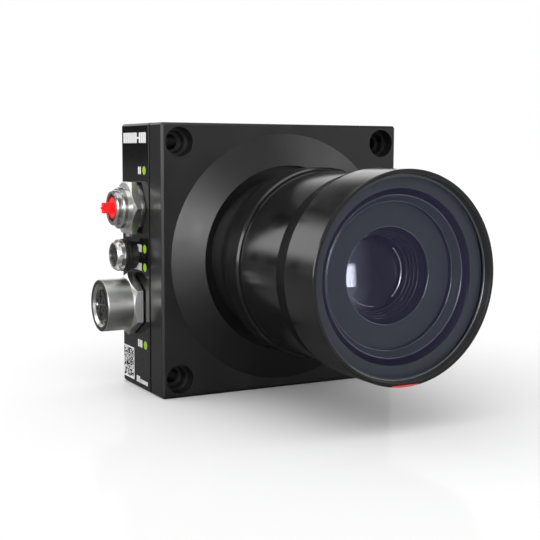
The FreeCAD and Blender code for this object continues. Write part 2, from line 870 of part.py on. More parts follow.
def make_rear_element():
    edge = rod("RearElementEdge", "sleeve_bore", "7", y="-sleeve_end - 10")
    fore = ball("RearElementFore", "38", "-sleeve_end - 9.5 + 38")
    back = ball("RearElementBack", "38", "-sleeve_end - 3.5 - 38")
    return keep(common("RearElement", [edge, fore, back]), "rear_element")


def make_aperture_stop():
    return turned("aperture_stop", [
        ("-optic_seat + 17", "stop_radius"), ("-optic_seat + 17", "sleeve_bore"),
        ("-optic_seat + 17.5", "sleeve_bore"), ("-optic_seat + 17.5", "stop_radius + 0.4")])


# ---------------------------------------------------------------------------
# Image sensor and boards
# ---------------------------------------------------------------------------

def plate_on_axis(name, side, depth, y):
    """A square plate across the lens axis, its front at y."""
    return block(name, side, depth, side, negative(side) + " / 2", y,
                 negative(side) + " / 2")


def make_image_sensor():
    package = plate_on_axis("SensorPackage", "sensor_side", "sensor_depth", "package_front")
    well = plate_on_axis("SensorWell", "die_side + 2", "die_recess + die_thickness",
                         "package_front")
    keep(cut("ImageSensor", package, well), "image_sensor")
    keep(plate_on_axis("SensorDie", "die_side", "die_thickness", "die_plane"), "sensor_die")
    keep(plate_on_axis("CoverGlass", "cover_glass_side", "cover_glass_thickness",
                       "package_front - cover_glass_thickness"), "sensor_cover_glass")


def drilled_board(name, side, y):
    board = plate_on_axis(name + "Blank", side, "board_thickness", y)
    holes = [rod("%sHole%d" % (name, i), BOARD_SCREW, "board_thickness", x, y,
                 z)
             for i, (x, z) in enumerate(four_corners("spacer_spacing"))]
    return cut(name, board, group(name + "Holes", holes))


def make_boards():
    keep(drilled_board("SensorBoard", "sensor_board_side", "board_front"), "sensor_board")
    keep(drilled_board("ProcessorBoard", "processor_board_side", "rear_board"),
         "processor_board")
    keep(plate_on_axis("ProcessorChip", "chip_side", "chip_height",
                       "rear_board + board_thickness"), "processor_chip")
    keep(plate_on_axis("HeatPad", "chip_side", "pad_thickness", "pad_front"), "heat_pad")
    keep(block("BoardLink", "chip_side", "board_gap", "4", "-chip_side / 2", "board_rear",
               "chip_side / 2 + 2"), "board_link")


def spacer(name, x, y, z, length):
    tube = rod(name + "_tube", "spacer_radius", length, x, y, z)
    bore = rod(name + "_bore", BOARD_SCREW, length, x, y, z)
    return cut(name, tube, bore)


def make_spacers_and_screws():
    spacers, screws = [], []
    for i, (x, z) in enumerate(four_corners("spacer_spacing")):
        spacers.append(spacer("FrontSpacer%d" % i, x, "plate_depth", z,
                              "board_front - plate_depth"))
        spacers.append(spacer("RearSpacer%d" % i, x, "board_rear", z, "board_gap"))
        shank = rod("BoardScrewShank%d" % i, BOARD_SCREW,
                    "rear_board + board_thickness - plate_depth + screw_bite", x,
                    "plate_depth - screw_bite", z)
        head = rod("BoardScrewHead%d" % i, "spacer_radius", "0.7", x,
                   "rear_board + board_thickness", z)
        screws.append(fuse("BoardScrew%d" % i, [shank, head]))
    keep(group("BoardSpacers", spacers), "board_spacers")
    keep(group("BoardScrews", screws), "board_screws")


# ---------------------------------------------------------------------------
# Left side: status lights and connectors. Each connector is turned about X, with
# its own x = 0 on the wall's outer face and the plug's side at negative x.
# ---------------------------------------------------------------------------

LIGHT_HEIGHTS = ("light_height_high", "light_height_mid", "light_height_low",
                 "-light_height_high")


def make_status_lights():
    pipes = [rod("LightPipe%d" % i, "light_radius_outer", "light_length", "light_inner",
                 "light_depth", z, ALONG_MINUS_X)
             for i, z in enumerate(LIGHT_HEIGHTS)]
    keep(group("LightPipes", pipes), "light_pipes")
    keep(block("LightBoard", "board_thickness", "4 * light_radius_outer",
               "2 * light_board_half", "light_inner", "light_depth - 2 * light_radius_outer",
               "-light_board_half"), "light_board")
    keep(block("InterfaceBoard", "board_thickness", "2 * data_spigot - 1",
               "2 * (cavity_half - post_notch - 1)", "-housing_side / 2 + socket_end",
               "connector_depth - data_spigot", "-(cavity_half - post_notch - 1)"),
         "interface_board")


def on_side(obj, height):
    return place(obj, "-housing_side / 2", "connector_depth", height)


def add_hexagon(body, across, front, rear, turn, bevel_slope=0.577):
    """Add a hexagon with bevelled front corners, between two depths."""
    sketch = sketch_on(body, SIDE, negative(rear))
    outline(sketch, hexagon(across, turn))
    pad(body, sketch, "(" + front + ") - (" + rear + ")", reverse=True)
    flat = "(" + across + ") / 2 - 0.15"
    turn_away(body, [
        (negative(front), flat), (negative(front), flat + " + 3"),
        (negative(front) + " + 3 * %g" % bevel_slope, flat + " + 3")], LEVEL)


def make_coax_connector():
    washer_top = "-coax_washer_thickness"
    shell = turned("coax_shell", [
        ("socket_end", "coax_bore"), ("socket_end", "coax_thread_radius - 1"),
        ("side_wall + 1.2", "coax_thread_radius - 1"),
        ("side_wall + 1.2", "coax_thread_radius + 0.25"),
        ("side_wall", "coax_thread_radius + 0.25"), ("side_wall", "coax_thread_radius"),
        ("-coax_nut_front - 1", "coax_thread_radius"),
        ("-coax_nut_front - 1", "coax_rim_radius - 0.3"),
        ("-coax_front + 1.5", "coax_rim_radius - 0.3"),
        ("-coax_front + 1.3", "coax_rim_radius"), ("-coax_front + 0.3", "coax_rim_radius"),
        ("-coax_front", "coax_rim_radius - 0.3"), ("-coax_front", "coax_bore")], LEVEL)
    on_side(shell, "coax_height")
    ring = turned("coax_ring", [
        ("-coax_nut_front - 1", "coax_rim_radius - 0.3"),
        ("-coax_nut_front - 1", "coax_ring_radius"),
        ("-coax_nut_front - 2", "coax_ring_radius"),
        ("-coax_nut_front - 2.4", "coax_ring_radius - 0.5"),
        ("-coax_nut_front - 2.4", "coax_rim_radius - 0.3")], LEVEL)
    on_side(ring, "coax_height")
    washer = turned("coax_washer", [
        ("0", "coax_thread_radius"), ("0", "coax_thread_radius + 1.5"),
        (washer_top, "coax_thread_radius + 1.5"), (washer_top, "coax_thread_radius")], LEVEL)
    lug = sketch_on(washer, SIDE, washer_top)
    outline(lug, box_corners("3.6", "-coax_across / 2 - 1.3", "5",
                             "-coax_thread_radius + 1"))
    pad(washer, lug, "coax_washer_thickness")
    on_side(washer, "coax_height")
    nut = new_body("coax_nut")
    add_hexagon(nut, "coax_across", "coax_nut_front", "coax_washer_thickness", 0)
    turn_away(nut, [("0", "0"), ("-coax_front", "0"), ("-coax_front", "coax_thread_radius"),
                    ("0", "coax_thread_radius")], LEVEL)
    on_side(nut, "coax_height")
    insert = turned("coax_insert", [
        ("socket_end", "0"), ("socket_end", "coax_bore"), ("-coax_front + 4.4", "coax_bore"),
        ("-coax_front + 4.4", "1.9"), ("-coax_front + 3.2", "1.9"),
        ("-coax_front + 3.2", "0.5"), ("-coax_front + 5.2", "0.5"),
        ("-coax_front + 5.2", "0")], LEVEL)
    on_side(insert, "coax_height")


def make_dust_plug():
    """A pull-out cap for the coax socket: a disc, a hollow stem and a square tab."""
    body = turned("dust_plug", [
        ("-coax_front + 0.1", "0"), ("-coax_front + 0.1", "plug_radius - 0.2"),
        ("-coax_front + 0.3", "plug_radius"), ("-coax_front + 4", "plug_radius"),
        ("-coax_front + 4", "2.2"), ("-coax_front + 1.2", "2.2"),
        ("-coax_front + 1.2", "0")], LEVEL)
    tab = sketch_on(body, SIDE, "-coax_front + 0.2")
    outline(tab, box_corners("-0.9", "-1.55", "0.9", "1.55"))
    pad(body, tab, "plug_reach", reverse=True)
    tip = sketch_on(body, SIDE, "-coax_front - plug_reach + 0.4")
    outline(tip, box_corners("-0.35", "-0.35", "0.35", "0.35"))
    pad(body, tip, "0.7", reverse=True)
    on_side(body, "coax_height")


def make_signal_connector():
    neck = turned("signal_body", [
        ("socket_end", "0"), ("socket_end", "signal_neck_radius - 0.8"),
        ("side_wall + 1.2", "signal_neck_radius - 0.8"),
        ("side_wall + 1.2", "signal_neck_radius + 1"),
        ("side_wall", "signal_neck_radius + 1"), ("side_wall", "signal_neck_radius"),
        ("-2.2", "signal_neck_radius"), ("-2.2", "signal_bore"),
        ("-2.6", "signal_bore"), ("-2.6", "0")], LEVEL)
    on_side(neck, "signal_height")
    seal = turned("signal_seal", [
        ("-2.2", "signal_bore"), ("-2.2", "signal_seal_radius - 0.3"),
        ("-2.5", "signal_seal_radius"), ("-3.1", "signal_seal_radius"),
        ("-3.3", "signal_seal_radius - 0.3"), ("-3.5", "signal_seal_radius"),
        ("-4.1", "signal_seal_radius"), ("-4.3", "signal_seal_radius - 0.2"),
        ("-4.3", "signal_bore")], LEVEL)
    on_side(seal, "signal_height")
    ring = turned("signal_ring", [
        ("-4.3", "signal_bore"), ("-4.3", "signal_ring_radius"),
        ("-signal_front + 1.1", "signal_ring_radius"),
        ("-signal_front + 0.2", "signal_radius"), ("-signal_front", "signal_radius - 0.2"),
        ("-signal_front", "signal_bore")], LEVEL)
    notch = sketch_on(ring, SIDE, "-signal_front")
    outline(notch, box_corners("signal_ring_radius - 0.35", "-0.55",
                               "signal_ring_radius + 1", "0.55"))
    slot = pocket(ring, notch, "signal_front - 4.5", reverse=True)
    doc.recompute()
    pattern = ring.newObject("PartDesign::PolarPattern", "Notches")
    pattern.Originals = [slot]
    pattern.Axis = (notch, ["N_Axis"])
    pattern.Angle = 360
    pattern.Occurrences = 8
    ring.Tip = pattern
    on_side(ring, "signal_height")
    insert = turned("signal_insert", [
        ("-2.6", "0"), ("-2.6", "signal_bore"), ("-signal_front + 0.3", "signal_bore"),
        ("-signal_front + 0.3", "0")], LEVEL)
    holes = sketch_on(insert, SIDE, "-signal_front + 0.3")
    for i in range(PIN_COUNT):
        circle(holes, "signal_bore * 0.56 * cos(%g)" % (PIN_STEP * i + PIN_TURN),
               "signal_bore * 0.56 * sin(%g)" % (PIN_STEP * i + PIN_TURN), "0.42")
    pocket(insert, holes, "3", reverse=True)
    on_side(insert, "signal_height")
    pins = []
    for i in range(PIN_COUNT):
        angle = PIN_STEP * i + PIN_TURN
        pins.append(rod("SignalPin%d" % i, "0.42", "2.2",
                        "-housing_side / 2 - signal_front + 0.3 + 3",
                        "connector_depth + signal_bore * 0.56 * cos(%g)" % angle,
                        "signal_height + signal_bore * 0.56 * sin(%g)" % angle,
                        ALONG_MINUS_X))
    keep(group("SignalPins", pins), "signal_pins")


PIN_COUNT = 6
PIN_STEP = 360 / PIN_COUNT
PIN_TURN = 30


def make_data_connector():
    shell = turned("data_shell", [
        ("socket_end", "data_insert_radius"), ("socket_end", "data_spigot"),
        ("-data_gasket_thickness", "data_spigot"),
        ("-data_gasket_thickness", "data_radius"), ("-data_front + 0.3", "data_radius"),
        ("-data_front", "data_radius - 0.3"), ("-data_front", "data_mouth"),
        ("-data_front + 1", "data_bore"), ("-data_front + 6.5", "data_bore"),
        ("-data_front + 6.5", "data_insert_radius")], LEVEL)
    add_hexagon(shell, "data_across", "data_hex_front", "data_gasket_thickness", 30)
    turn_away(shell, [
        ("0", "0"), ("-data_hex_front - 0.1", "0"),
        ("-data_hex_front - 0.1", "data_insert_radius"), ("0", "data_insert_radius")], LEVEL)
    on_side(shell, "data_height")
    gasket = turned("data_gasket", [
        ("0", "data_spigot"), ("0", "data_radius + 0.15"),
        ("-data_gasket_thickness", "data_radius + 0.15"),
        ("-data_gasket_thickness", "data_spigot")], LEVEL)
    on_side(gasket, "data_height")

    insert = turned("data_insert", [
        ("socket_end", "0"), ("socket_end", "data_insert_radius"),
        ("-data_front + data_insert_recess", "data_insert_radius"),
        ("-data_front + data_insert_recess", "0")], LEVEL)
    cross = sketch_on(insert, SIDE, "-data_front + data_insert_recess")
    outline(cross, cross_corners("0.45", "data_insert_radius + 1"))
    pocket(insert, cross, "6", reverse=True)
    holes = sketch_on(insert, SIDE, "-data_front + data_insert_recess")
    for turn in (25, 65, 115, 155, 205, 245, 295, 335):
        circle(holes, "data_insert_radius * 0.62 * cos(%d)" % turn,
               "data_insert_radius * 0.62 * sin(%d)" % turn, "0.45")
    pocket(insert, holes, "4", reverse=True)
    on_side(insert, "data_height")

    shield = new_body("data_shield")
    arms = sketch_on(shield, SIDE, "-data_front + data_insert_recess + 6")
    outline(arms, cross_corners("0.45", "data_insert_radius"))
    pad(shield, arms, "5", reverse=True)
    on_side(shield, "data_height")
    contacts = [rod("DataContact%d" % i, "0.45", "3",
                    "-housing_side / 2 - data_front + data_insert_recess + 4",
                    "connector_depth + data_insert_radius * 0.62 * cos(%d)" % turn,
                    "data_height + data_insert_radius * 0.62 * sin(%d)" % turn,
                    ALONG_MINUS_X)
                for i, turn in enumerate((25, 65, 115, 155, 205, 245, 295, 335))]
    keep(group("DataContacts", contacts), "data_contacts")


def cross_corners(half, reach):
    """A plus sign with arms of this half width and reach."""
    quarter = [(reach, negative(half)), (reach, half), (half, half)]
    corners = []
    for _ in range(4):
        corners += quarter
        quarter = [(negative(y), x) for x, y in quarter]
    return corners


# ---------------------------------------------------------------------------
# Build, check and write
# ---------------------------------------------------------------------------

make_front_plate()
make_rear_housing()
make_housing_gasket()
make_housing_screws()
make_tube_base()
make_base_seal()
make_lens_tube()
make_tube_seal()
make_window_seal()
make_front_window()
make_front_ring()
make_index_mark()
make_lens_mount()
make_mount_screws()
make_filter_glass()
make_lens_barrel()
make_focus_ring()
make_focus_lock_screw()
make_front_barrel()
make_front_baffle()
make_front_retainer()
make_front_element()
make_middle_element()
make_rear_element()
make_aperture_stop()
make_image_sensor()
make_boards()
make_spacers_and_screws()
make_status_lights()
make_coax_connector()
make_dust_plug()
make_signal_connector()
make_data_connector()
doc.recompute()

for obj in doc.Objects:
    if {"Invalid", "Error"} & set(obj.State):
        raise RuntimeError("%s (%s) is not well built: %s" % (obj.Name, obj.Label, obj.State))

for obj in sub_parts:
    shape = obj.Shape
    if shape.isNull() or not shape.isValid() or not shape.Solids:
        raise RuntimeError(obj.Label + " has no valid solid")
    shape.exportStep(os.path.join("parts", obj.Label + ".step"))
    box = shape.BoundBox
    print("%-20s %2d solids %9.1f mm3  y %7.2f to %7.2f" % (
        obj.Label, len(shape.Solids), shape.Volume, box.YMin, box.YMax))
print(len(sub_parts), "sub-parts written")
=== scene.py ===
import math
import random

import bmesh
import bpy
from mathutils import Matrix, Vector


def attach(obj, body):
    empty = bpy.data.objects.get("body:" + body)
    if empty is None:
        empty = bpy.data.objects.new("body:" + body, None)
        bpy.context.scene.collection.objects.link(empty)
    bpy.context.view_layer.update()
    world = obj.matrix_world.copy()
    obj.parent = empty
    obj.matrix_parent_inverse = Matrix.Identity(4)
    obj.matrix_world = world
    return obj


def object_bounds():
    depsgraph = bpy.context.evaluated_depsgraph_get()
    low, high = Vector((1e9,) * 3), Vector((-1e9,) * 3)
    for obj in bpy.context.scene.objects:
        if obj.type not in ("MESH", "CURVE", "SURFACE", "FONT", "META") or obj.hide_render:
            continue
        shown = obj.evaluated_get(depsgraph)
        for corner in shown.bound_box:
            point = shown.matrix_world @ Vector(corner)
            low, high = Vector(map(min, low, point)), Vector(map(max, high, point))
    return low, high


# Looks for a machine vision camera: finishes for the CAD nodes, printed marks,
# threads, floor, sky and camera. Metres; origin on the lens tube's axis at the
# housing's front face, +Z up, -Y the way the camera looks, connectors at -X.

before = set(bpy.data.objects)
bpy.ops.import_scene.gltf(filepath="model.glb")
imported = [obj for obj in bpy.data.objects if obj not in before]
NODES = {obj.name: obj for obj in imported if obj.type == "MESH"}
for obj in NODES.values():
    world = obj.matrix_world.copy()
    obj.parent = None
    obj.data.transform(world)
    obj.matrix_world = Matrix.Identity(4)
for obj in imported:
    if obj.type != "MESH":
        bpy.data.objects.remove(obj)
CAD_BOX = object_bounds()
MM = 0.001
BOTTOM = CAD_BOX[0][2]
SIDE_X = BOTTOM    # the housing is square about the tube's axis
ALONG_X, ALONG_Y = 0, 1


# ---------------------------------------------------------------------------
# Shader sums
# ---------------------------------------------------------------------------

class Socket:
    """An output socket that takes part in arithmetic."""

    def __init__(self, shader, socket):
        self.shader = shader
        self.socket = socket

    def sum(self, operation, *others, **settings):
        settings["operation"] = operation
        return self.shader.node("Math", settings, self, *others)

    def __add__(self, other):
        return self.sum("ADD", other)

    def __sub__(self, other):
        return self.sum("SUBTRACT", other)

    def __mul__(self, other):
        return self.sum("MULTIPLY", other)

    def __truediv__(self, other):
        return self.sum("DIVIDE", other)

    def __rsub__(self, other):
        return self.shader.node("Math", {"operation": "SUBTRACT"}, other, self)

    def __rtruediv__(self, other):
        return self.shader.node("Math", {"operation": "DIVIDE"}, other, self)

    __radd__ = __add__
    __rmul__ = __mul__

    def power(self, other):
        return self.sum("POWER", other)

    def above(self, limit):
        return self.sum("GREATER_THAN", limit)

    def below(self, limit):
        return self.sum("LESS_THAN", limit)

    def other(self, name):
        """Another output of the same node."""
        return Socket(self.shader, self.socket.node.outputs[name])


class Shader:
    """One node tree with its nodes made by a single call."""

    def __init__(self, tree):
        self.tree = tree
        tree.nodes.clear()

    def node(self, kind, settings=None, *by_index, **by_name):
        node = self.tree.nodes.new("ShaderNode" + kind)
        for key, setting in (settings or {}).items():
            setattr(node, key, setting)
        pairs = list(enumerate(by_index))
        pairs += [(key.replace("_", " "), value) for key, value in by_name.items()]
        for key, value in pairs:
            if isinstance(value, Socket):
                self.tree.links.new(value.socket, node.inputs[key])
            elif value is not None:
                node.inputs[key].default_value = value
        outputs = [o for o in node.outputs if o.enabled]
        return Socket(self, outputs[0]) if outputs else None

    def place(self):
        """Position in the piece's own metres, as x, y, z sockets in millimetres."""
        spot = self.node("TexCoord").other("Object")
        split = self.node("SeparateXYZ", None, spot)
        return [split.other(axis) * 1000 for axis in "XYZ"]

    def noise(self, size_mm, detail=3.0, stretch=(1, 1, 1)):
        """Noise from 0 to 1 with grains of this size."""
        spot = self.node("TexCoord").other("Object")
        scale = [1000 / size_mm / s for s in stretch]
        spot = self.node("Mapping", None, spot, Scale=scale)
        return self.node("TexNoise", None, spot, Scale=1.0, Detail=detail, Roughness=0.5)

    def ramp(self, value, low, high):
        return self.node("MapRange", {"clamp": True}, value, low[0], high[0], low[1], high[1])

    def size_of(self, value):
        return self.node("Math", {"operation": "ABSOLUTE"}, value)


def colour(r, g=None, b=None):
    return (r, r if g is None else g, r if b is None else b, 1.0)


def mix_colours(shader, amount, a, b):
    """A blend of two colours by a 0 to 1 amount."""
    node = shader.tree.nodes.new("ShaderNodeMix")
    node.data_type = "RGBA"
    shader.tree.links.new(amount.socket, node.inputs[0])
    for socket, value in ((node.inputs[6], a), (node.inputs[7], b)):
        if isinstance(value, Socket):
            shader.tree.links.new(value.socket, socket)
        else:
            socket.default_value = value
    return Socket(shader, node.outputs[2])


def new_material(name, build):
    """A material whose surface is what build(shader) returns."""
    material = bpy.data.materials.new(name)
    material.use_nodes = True
    shader = Shader(material.node_tree)
    surface = build(shader)
    shader.node("OutputMaterial", None, surface)
    return material


def bump(shader, height, depth_mm, radius_mm=0.0):
    """A bumped normal; radius_mm rounds the edges too."""
    normal = None
    if radius_mm:
        normal = shader.node("Bevel", {"samples": 6}, radius_mm * MM)
    return shader.node("Bump", None, Strength=1.0, Distance=depth_mm * MM, Height=height,
                       Normal=normal)


def coated(name, dark, light, rough, grain_mm, depth_mm, edge_mm=0.0, specular=0.5,
           metallic=0.0, zone=None):
    """A fine grained coat: powder coat, anodising, moulded plastic or rubber.

    zone is (axis, limit in mm, roughness, colour): beyond that limit towards minus the
    coat changes to this roughness and colour."""
    def build(s):
        grain = s.noise(grain_mm, 2.0)
        cloud = s.noise(9.0, 3.0)
        tone = mix_colours(s, s.ramp(cloud * 0.6 + grain * 0.4, (0.3, 0), (0.7, 1)),
                           dark, light)
        roughness = s.ramp(cloud, (0.2, rough - 0.05), (0.8, rough + 0.05))
        height = grain
        if zone:
            axis, limit, zone_rough, zone_colour = zone
            inside = s.place()[axis].below(limit)
            roughness = inside * (zone_rough + cloud * 0.04) + (1 - inside) * roughness
            height = grain * (1 - inside * 0.8)
            tone = mix_colours(s, inside, tone, zone_colour)
        return s.node("BsdfPrincipled", None, Base_Color=tone, Roughness=roughness,
                      Metallic=metallic, Specular_IOR_Level=specular,
                      Normal=bump(s, height, depth_mm, edge_mm))
    return new_material(name, build)


def turned_metal(name, dark, light, rough, axis, step_mm=0.12, depth_mm=0.004, metallic=1.0,
                 edge_mm=0.0, zone=None):
    """Metal with fine lathe rings across this axis; zone is as for coated."""
    def build(s):
        stretch = [60.0, 60.0, 60.0]
        stretch[axis] = 1.0
        rings = s.noise(step_mm, 2.0, stretch)
        cloud = s.noise(5.0, 3.0)
        tone = mix_colours(s, s.ramp(cloud, (0.3, 0), (0.7, 1)), dark, light)
        roughness = s.ramp(cloud * 0.5 + rings * 0.5, (0.3, rough - 0.04), (0.7, rough + 0.05))
        if zone:
            zone_axis, limit, zone_rough, zone_colour = zone
            inside = s.place()[zone_axis].below(limit)
            roughness = inside * zone_rough + (1 - inside) * roughness
            tone = mix_colours(s, inside, tone, zone_colour)
        return s.node("BsdfPrincipled", None, Base_Color=tone, Roughness=roughness,
                      Metallic=metallic, Specular_IOR_Level=0.5,
                      Normal=bump(s, rings, depth_mm, edge_mm))
    return new_material(name, build)


def clear_sheet(name, tint, coating, strength, smear=0.0, ball_mm=None, tilt=(0.0, 0.0),
                painted_glint=0.0):
    """Coated glass: light passes straight on, and a tinted part of it is mirrored.

    ball_mm and tilt give a lens the mirror image of a ball of this radius, turned by these
    slopes, which places where the softboxes show in it; the last argument paints a highlight: it
    is what the lens's left half mirrors beyond the rest."""
    def build(s):
        film = s.noise(14.0, 2.0)
        power = strength
        normal = None
        if ball_mm:
            x, y, z = s.place()
            normal = s.node("CombineXYZ", None, x / ball_mm + tilt[0], -1.0,
                            z / ball_mm + tilt[1])
            normal = s.node("VectorTransform", {"vector_type": "NORMAL",
                                                "convert_from": "OBJECT",
                                                "convert_to": "WORLD"}, normal)
        shine = s.node("BsdfGlossy", None, coating, s.ramp(film, (0.3, 0.0), (0.8, smear)),
                       Normal=normal)
        through = s.node("BsdfTransparent", None, tint)
        slant = s.node("LayerWeight", None, 0.5).other("Facing")
        # Painted highlight: the left half of the glass mirrors this much more.
        if painted_glint:
            power = s.ramp(x, (-6.0, painted_glint), (-1.0, 0.0)) + strength
        mirrored = (slant.power(5.0) * 0.96 + 0.04) * power
        return s.node("MixShader", None, mirrored, through, shine)
    return new_material(name, build)


def circuit_board(name):
    def build(s):
        tracks = s.noise(1.1, 0.0, (1, 6, 1))
        line = tracks.above(0.55)
        tone = mix_colours(s, line, colour(0.004, 0.045, 0.018), colour(0.01, 0.09, 0.03))
        return s.node("BsdfPrincipled", None, Base_Color=tone, Roughness=0.32,
                      Normal=bump(s, tracks, 0.02))
    return new_material(name, build)


def painted_glow_plastic(name, tone, deep):
    """Clear coloured plastic with an even glow painted in, standing in for light caught inside
    it.
    """
    def build(s):
        cloud = s.noise(0.6, 2.0)
        shade = mix_colours(s, cloud, deep, tone)
        return s.node("BsdfPrincipled", None, Base_Color=shade, Roughness=0.3,
                      Emission_Color=shade, Emission_Strength=0.18)
    return new_material(name, build)


# Places in millimetres where a coat changes
SIDE_FACE = SIDE_X / MM + 0.1
BEZEL_FACE = -56.7
SHELL_RIM = -51.1

PLATE_COAT = coated("plate_coat", colour(0.008), colour(0.011), 0.33, 0.16, 0.005, 0.12,
                    zone=(ALONG_X, SIDE_FACE, 0.22, colour(0.006)))
SIDE_COAT = coated("housing_coat", colour(0.008), colour(0.011), 0.33, 0.16, 0.005, 0.12,
                   zone=(ALONG_X, SIDE_FACE, 0.09, colour(0.005)))
TUBE = turned_metal("tube_anodise", colour(0.006), colour(0.009), 0.15, ALONG_Y, 0.10, 0.001,
                    0.0, 0.12)
RING = turned_metal("ring_anodise", colour(0.022), colour(0.030), 0.30, ALONG_Y, 0.10, 0.001,
                    0.0, 0.12)
SEAL = coated("seal_rubber", colour(0.008), colour(0.014), 0.6, 0.2, 0.01)
WINDOW_SEAL = coated("window_seal_rubber", colour(0.044, 0.050, 0.052),
                     colour(0.050, 0.057, 0.058), 0.6, 0.2, 0.002, specular=0.15)
STEEL = turned_metal("steel_screw", colour(0.45), colour(0.55), 0.28, ALONG_Y, edge_mm=0.1)
LENS_BLACK = coated("lens_anodise", colour(0.004), colour(0.006), 0.60, 0.3, 0.001, 0.05, 0.08)
BAFFLE_GREY = colour(0.036, 0.044, 0.034)
BAFFLE = coated("baffle_coat", colour(0.034, 0.042, 0.033), BAFFLE_GREY, 0.6, 0.2, 0.002,
                specular=0.15)
BEZEL = coated("bezel_coat", colour(0.004), colour(0.006), 0.60, 0.3, 0.001, 0.05, 0.06,
               zone=(ALONG_Y, BEZEL_FACE, 0.5, BAFFLE_GREY))
EDGE = turned_metal("polished_edge", colour(0.26), colour(0.32), 0.20, ALONG_Y, 0.2, 0.0005)
STEP_EDGE = turned_metal("step_edge", colour(0.10), colour(0.14), 0.25, ALONG_Y, 0.2,
                         0.0005)
BEVEL = coated("glass_bevel", colour(0.045, 0.058, 0.066), colour(0.055, 0.070, 0.080), 0.3, 0.4,
               0.0005)
# Black for the joint strip: partly the dark gap, partly painted shade over the chamfers.
JOINT_SHADE = coated("joint_shade_black", colour(0.0015), colour(0.0025), 0.8, 0.2, 0.002, specular=0.1)
# Bright metal for the bead arcs that are painted highlights on the front lens.
GLINT_ARC = turned_metal("glint_arc_metal", colour(0.75), colour(0.85), 0.18, ALONG_Y, 0.2,
                         0.0005)
NICKEL = turned_metal("nickel", colour(0.66, 0.66, 0.65), colour(0.74, 0.74, 0.72), 0.20,
                      ALONG_X, 0.25, 0.0010, 0.94, 0.06)
SATIN = turned_metal("satin_nickel", colour(0.66, 0.66, 0.65), colour(0.72, 0.72, 0.70), 0.34,
                     ALONG_X, 0.25, 0.0010, 1.0, 0.08)
SHELL = turned_metal("shell_nickel", colour(0.68, 0.68, 0.67), colour(0.74, 0.74, 0.72), 0.34,
                     ALONG_X, 0.25, 0.0010, 1.0, 0.08,
                     (ALONG_X, SHELL_RIM, 0.35, colour(0.10)))
SHIELD = turned_metal("shield_metal", colour(0.10), colour(0.13), 0.40, ALONG_X, 0.25,
                      0.0010)
GOLD = turned_metal("gold_contact", colour(0.70, 0.50, 0.18), colour(0.82, 0.60, 0.24), 0.2,
                    ALONG_X)
SPACER = turned_metal("spacer_metal", colour(0.55, 0.50, 0.38), colour(0.65, 0.6, 0.45), 0.3,
                      ALONG_Y)
RED_PLUG = coated("red_plug", colour(0.90, 0.003, 0.005), colour(0.98, 0.006, 0.008), 0.38,
                  0.25, 0.008, 0.08)
RED_PAINT = coated("red_paint", colour(0.82, 0.035, 0.035), colour(0.9, 0.06, 0.05), 0.45,
                   0.1, 0.004)
PLASTIC = coated("black_plastic", colour(0.010), colour(0.018), 0.38, 0.2, 0.008, 0.06)
WHITE_PLASTIC = coated("white_insulator", colour(0.65), colour(0.72), 0.35, 0.2, 0.004)
CERAMIC = coated("ceramic", colour(0.05, 0.045, 0.05), colour(0.07, 0.06, 0.07), 0.4, 0.2,
                 0.006)
PAD = coated("heat_pad", colour(0.30, 0.32, 0.36), colour(0.38, 0.4, 0.44), 0.7, 0.3, 0.02)
BOARD = circuit_board("circuit_board")
DIE = coated("sensor_silicon", colour(0.10, 0.07, 0.16), colour(0.16, 0.12, 0.2), 0.12, 0.4,
             0.001, metallic=0.8)
# The light pipes glow faintly all over: painted light.
LIGHT = painted_glow_plastic("light_pipe", colour(0.30, 0.50, 0.010), colour(0.20, 0.36, 0.006))
WINDOW = clear_sheet("window_glass", colour(0.93, 0.94, 0.97), colour(0.50, 0.48, 0.90), 1.0,
                     0.004)
# Front lens: normals of a tilted 44 mm ball place the softbox's mirror image, and its left half
# mirrors more, a painted highlight.
FRONT_LENS = clear_sheet("front_lens_glass", colour(0.70, 0.70, 0.76),
                         colour(0.95, 0.96, 1.0), 0.6, 0.0, 44.0, (-0.13, 0.139), 2.8)
LENS = clear_sheet("lens_glass", colour(0.60, 0.60, 0.66), colour(0.60, 0.60, 1.0), 0.3)
PRINT = coated("print_white", colour(0.72), colour(0.80), 0.5, 0.08, 0.002)

FINISH = {
    "front_plate": PLATE_COAT, "rear_housing": SIDE_COAT, "tube_base": TUBE,
    "lens_tube": TUBE, "front_ring": RING, "housing_gasket": SEAL, "base_seal": SEAL,
    "tube_seal": SEAL, "window_seal": WINDOW_SEAL, "signal_seal": SEAL, "data_gasket": SEAL,
    "housing_screws": STEEL, "mount_screws": STEEL, "board_screws": STEEL,
    "focus_lock_screw": STEEL, "front_window": WINDOW, "filter_glass": LENS,
    "sensor_cover_glass": LENS, "front_element": FRONT_LENS, "middle_element": LENS,
    "rear_element": LENS, "index_mark": RED_PAINT, "lens_mount": LENS_BLACK,
    "lens_barrel": LENS_BLACK, "focus_ring": LENS_BLACK, "front_barrel": BEZEL,
    "front_baffle": BAFFLE, "front_retainer": LENS_BLACK, "aperture_stop": LENS_BLACK,
    "image_sensor": CERAMIC, "sensor_die": DIE, "sensor_board": BOARD,
    "processor_board": BOARD, "light_board": BOARD, "interface_board": BOARD,
    "processor_chip": PLASTIC, "board_link": PLASTIC, "heat_pad": PAD,
    "board_spacers": SPACER, "light_pipes": LIGHT, "coax_shell": NICKEL,
    "coax_ring": NICKEL, "coax_washer": SATIN, "coax_nut": SATIN, "signal_ring": SATIN,
    "data_shell": SHELL, "data_shield": SHIELD, "coax_insert": WHITE_PLASTIC,
    "dust_plug": RED_PLUG, "signal_body": PLASTIC, "signal_insert": PLASTIC,
    "data_insert": PLASTIC, "signal_pins": GOLD, "data_contacts": GOLD,
}
for name, material in FINISH.items():
    for slot in NODES[name].material_slots:
        slot.material = material


# ---------------------------------------------------------------------------
# Pieces
# ---------------------------------------------------------------------------

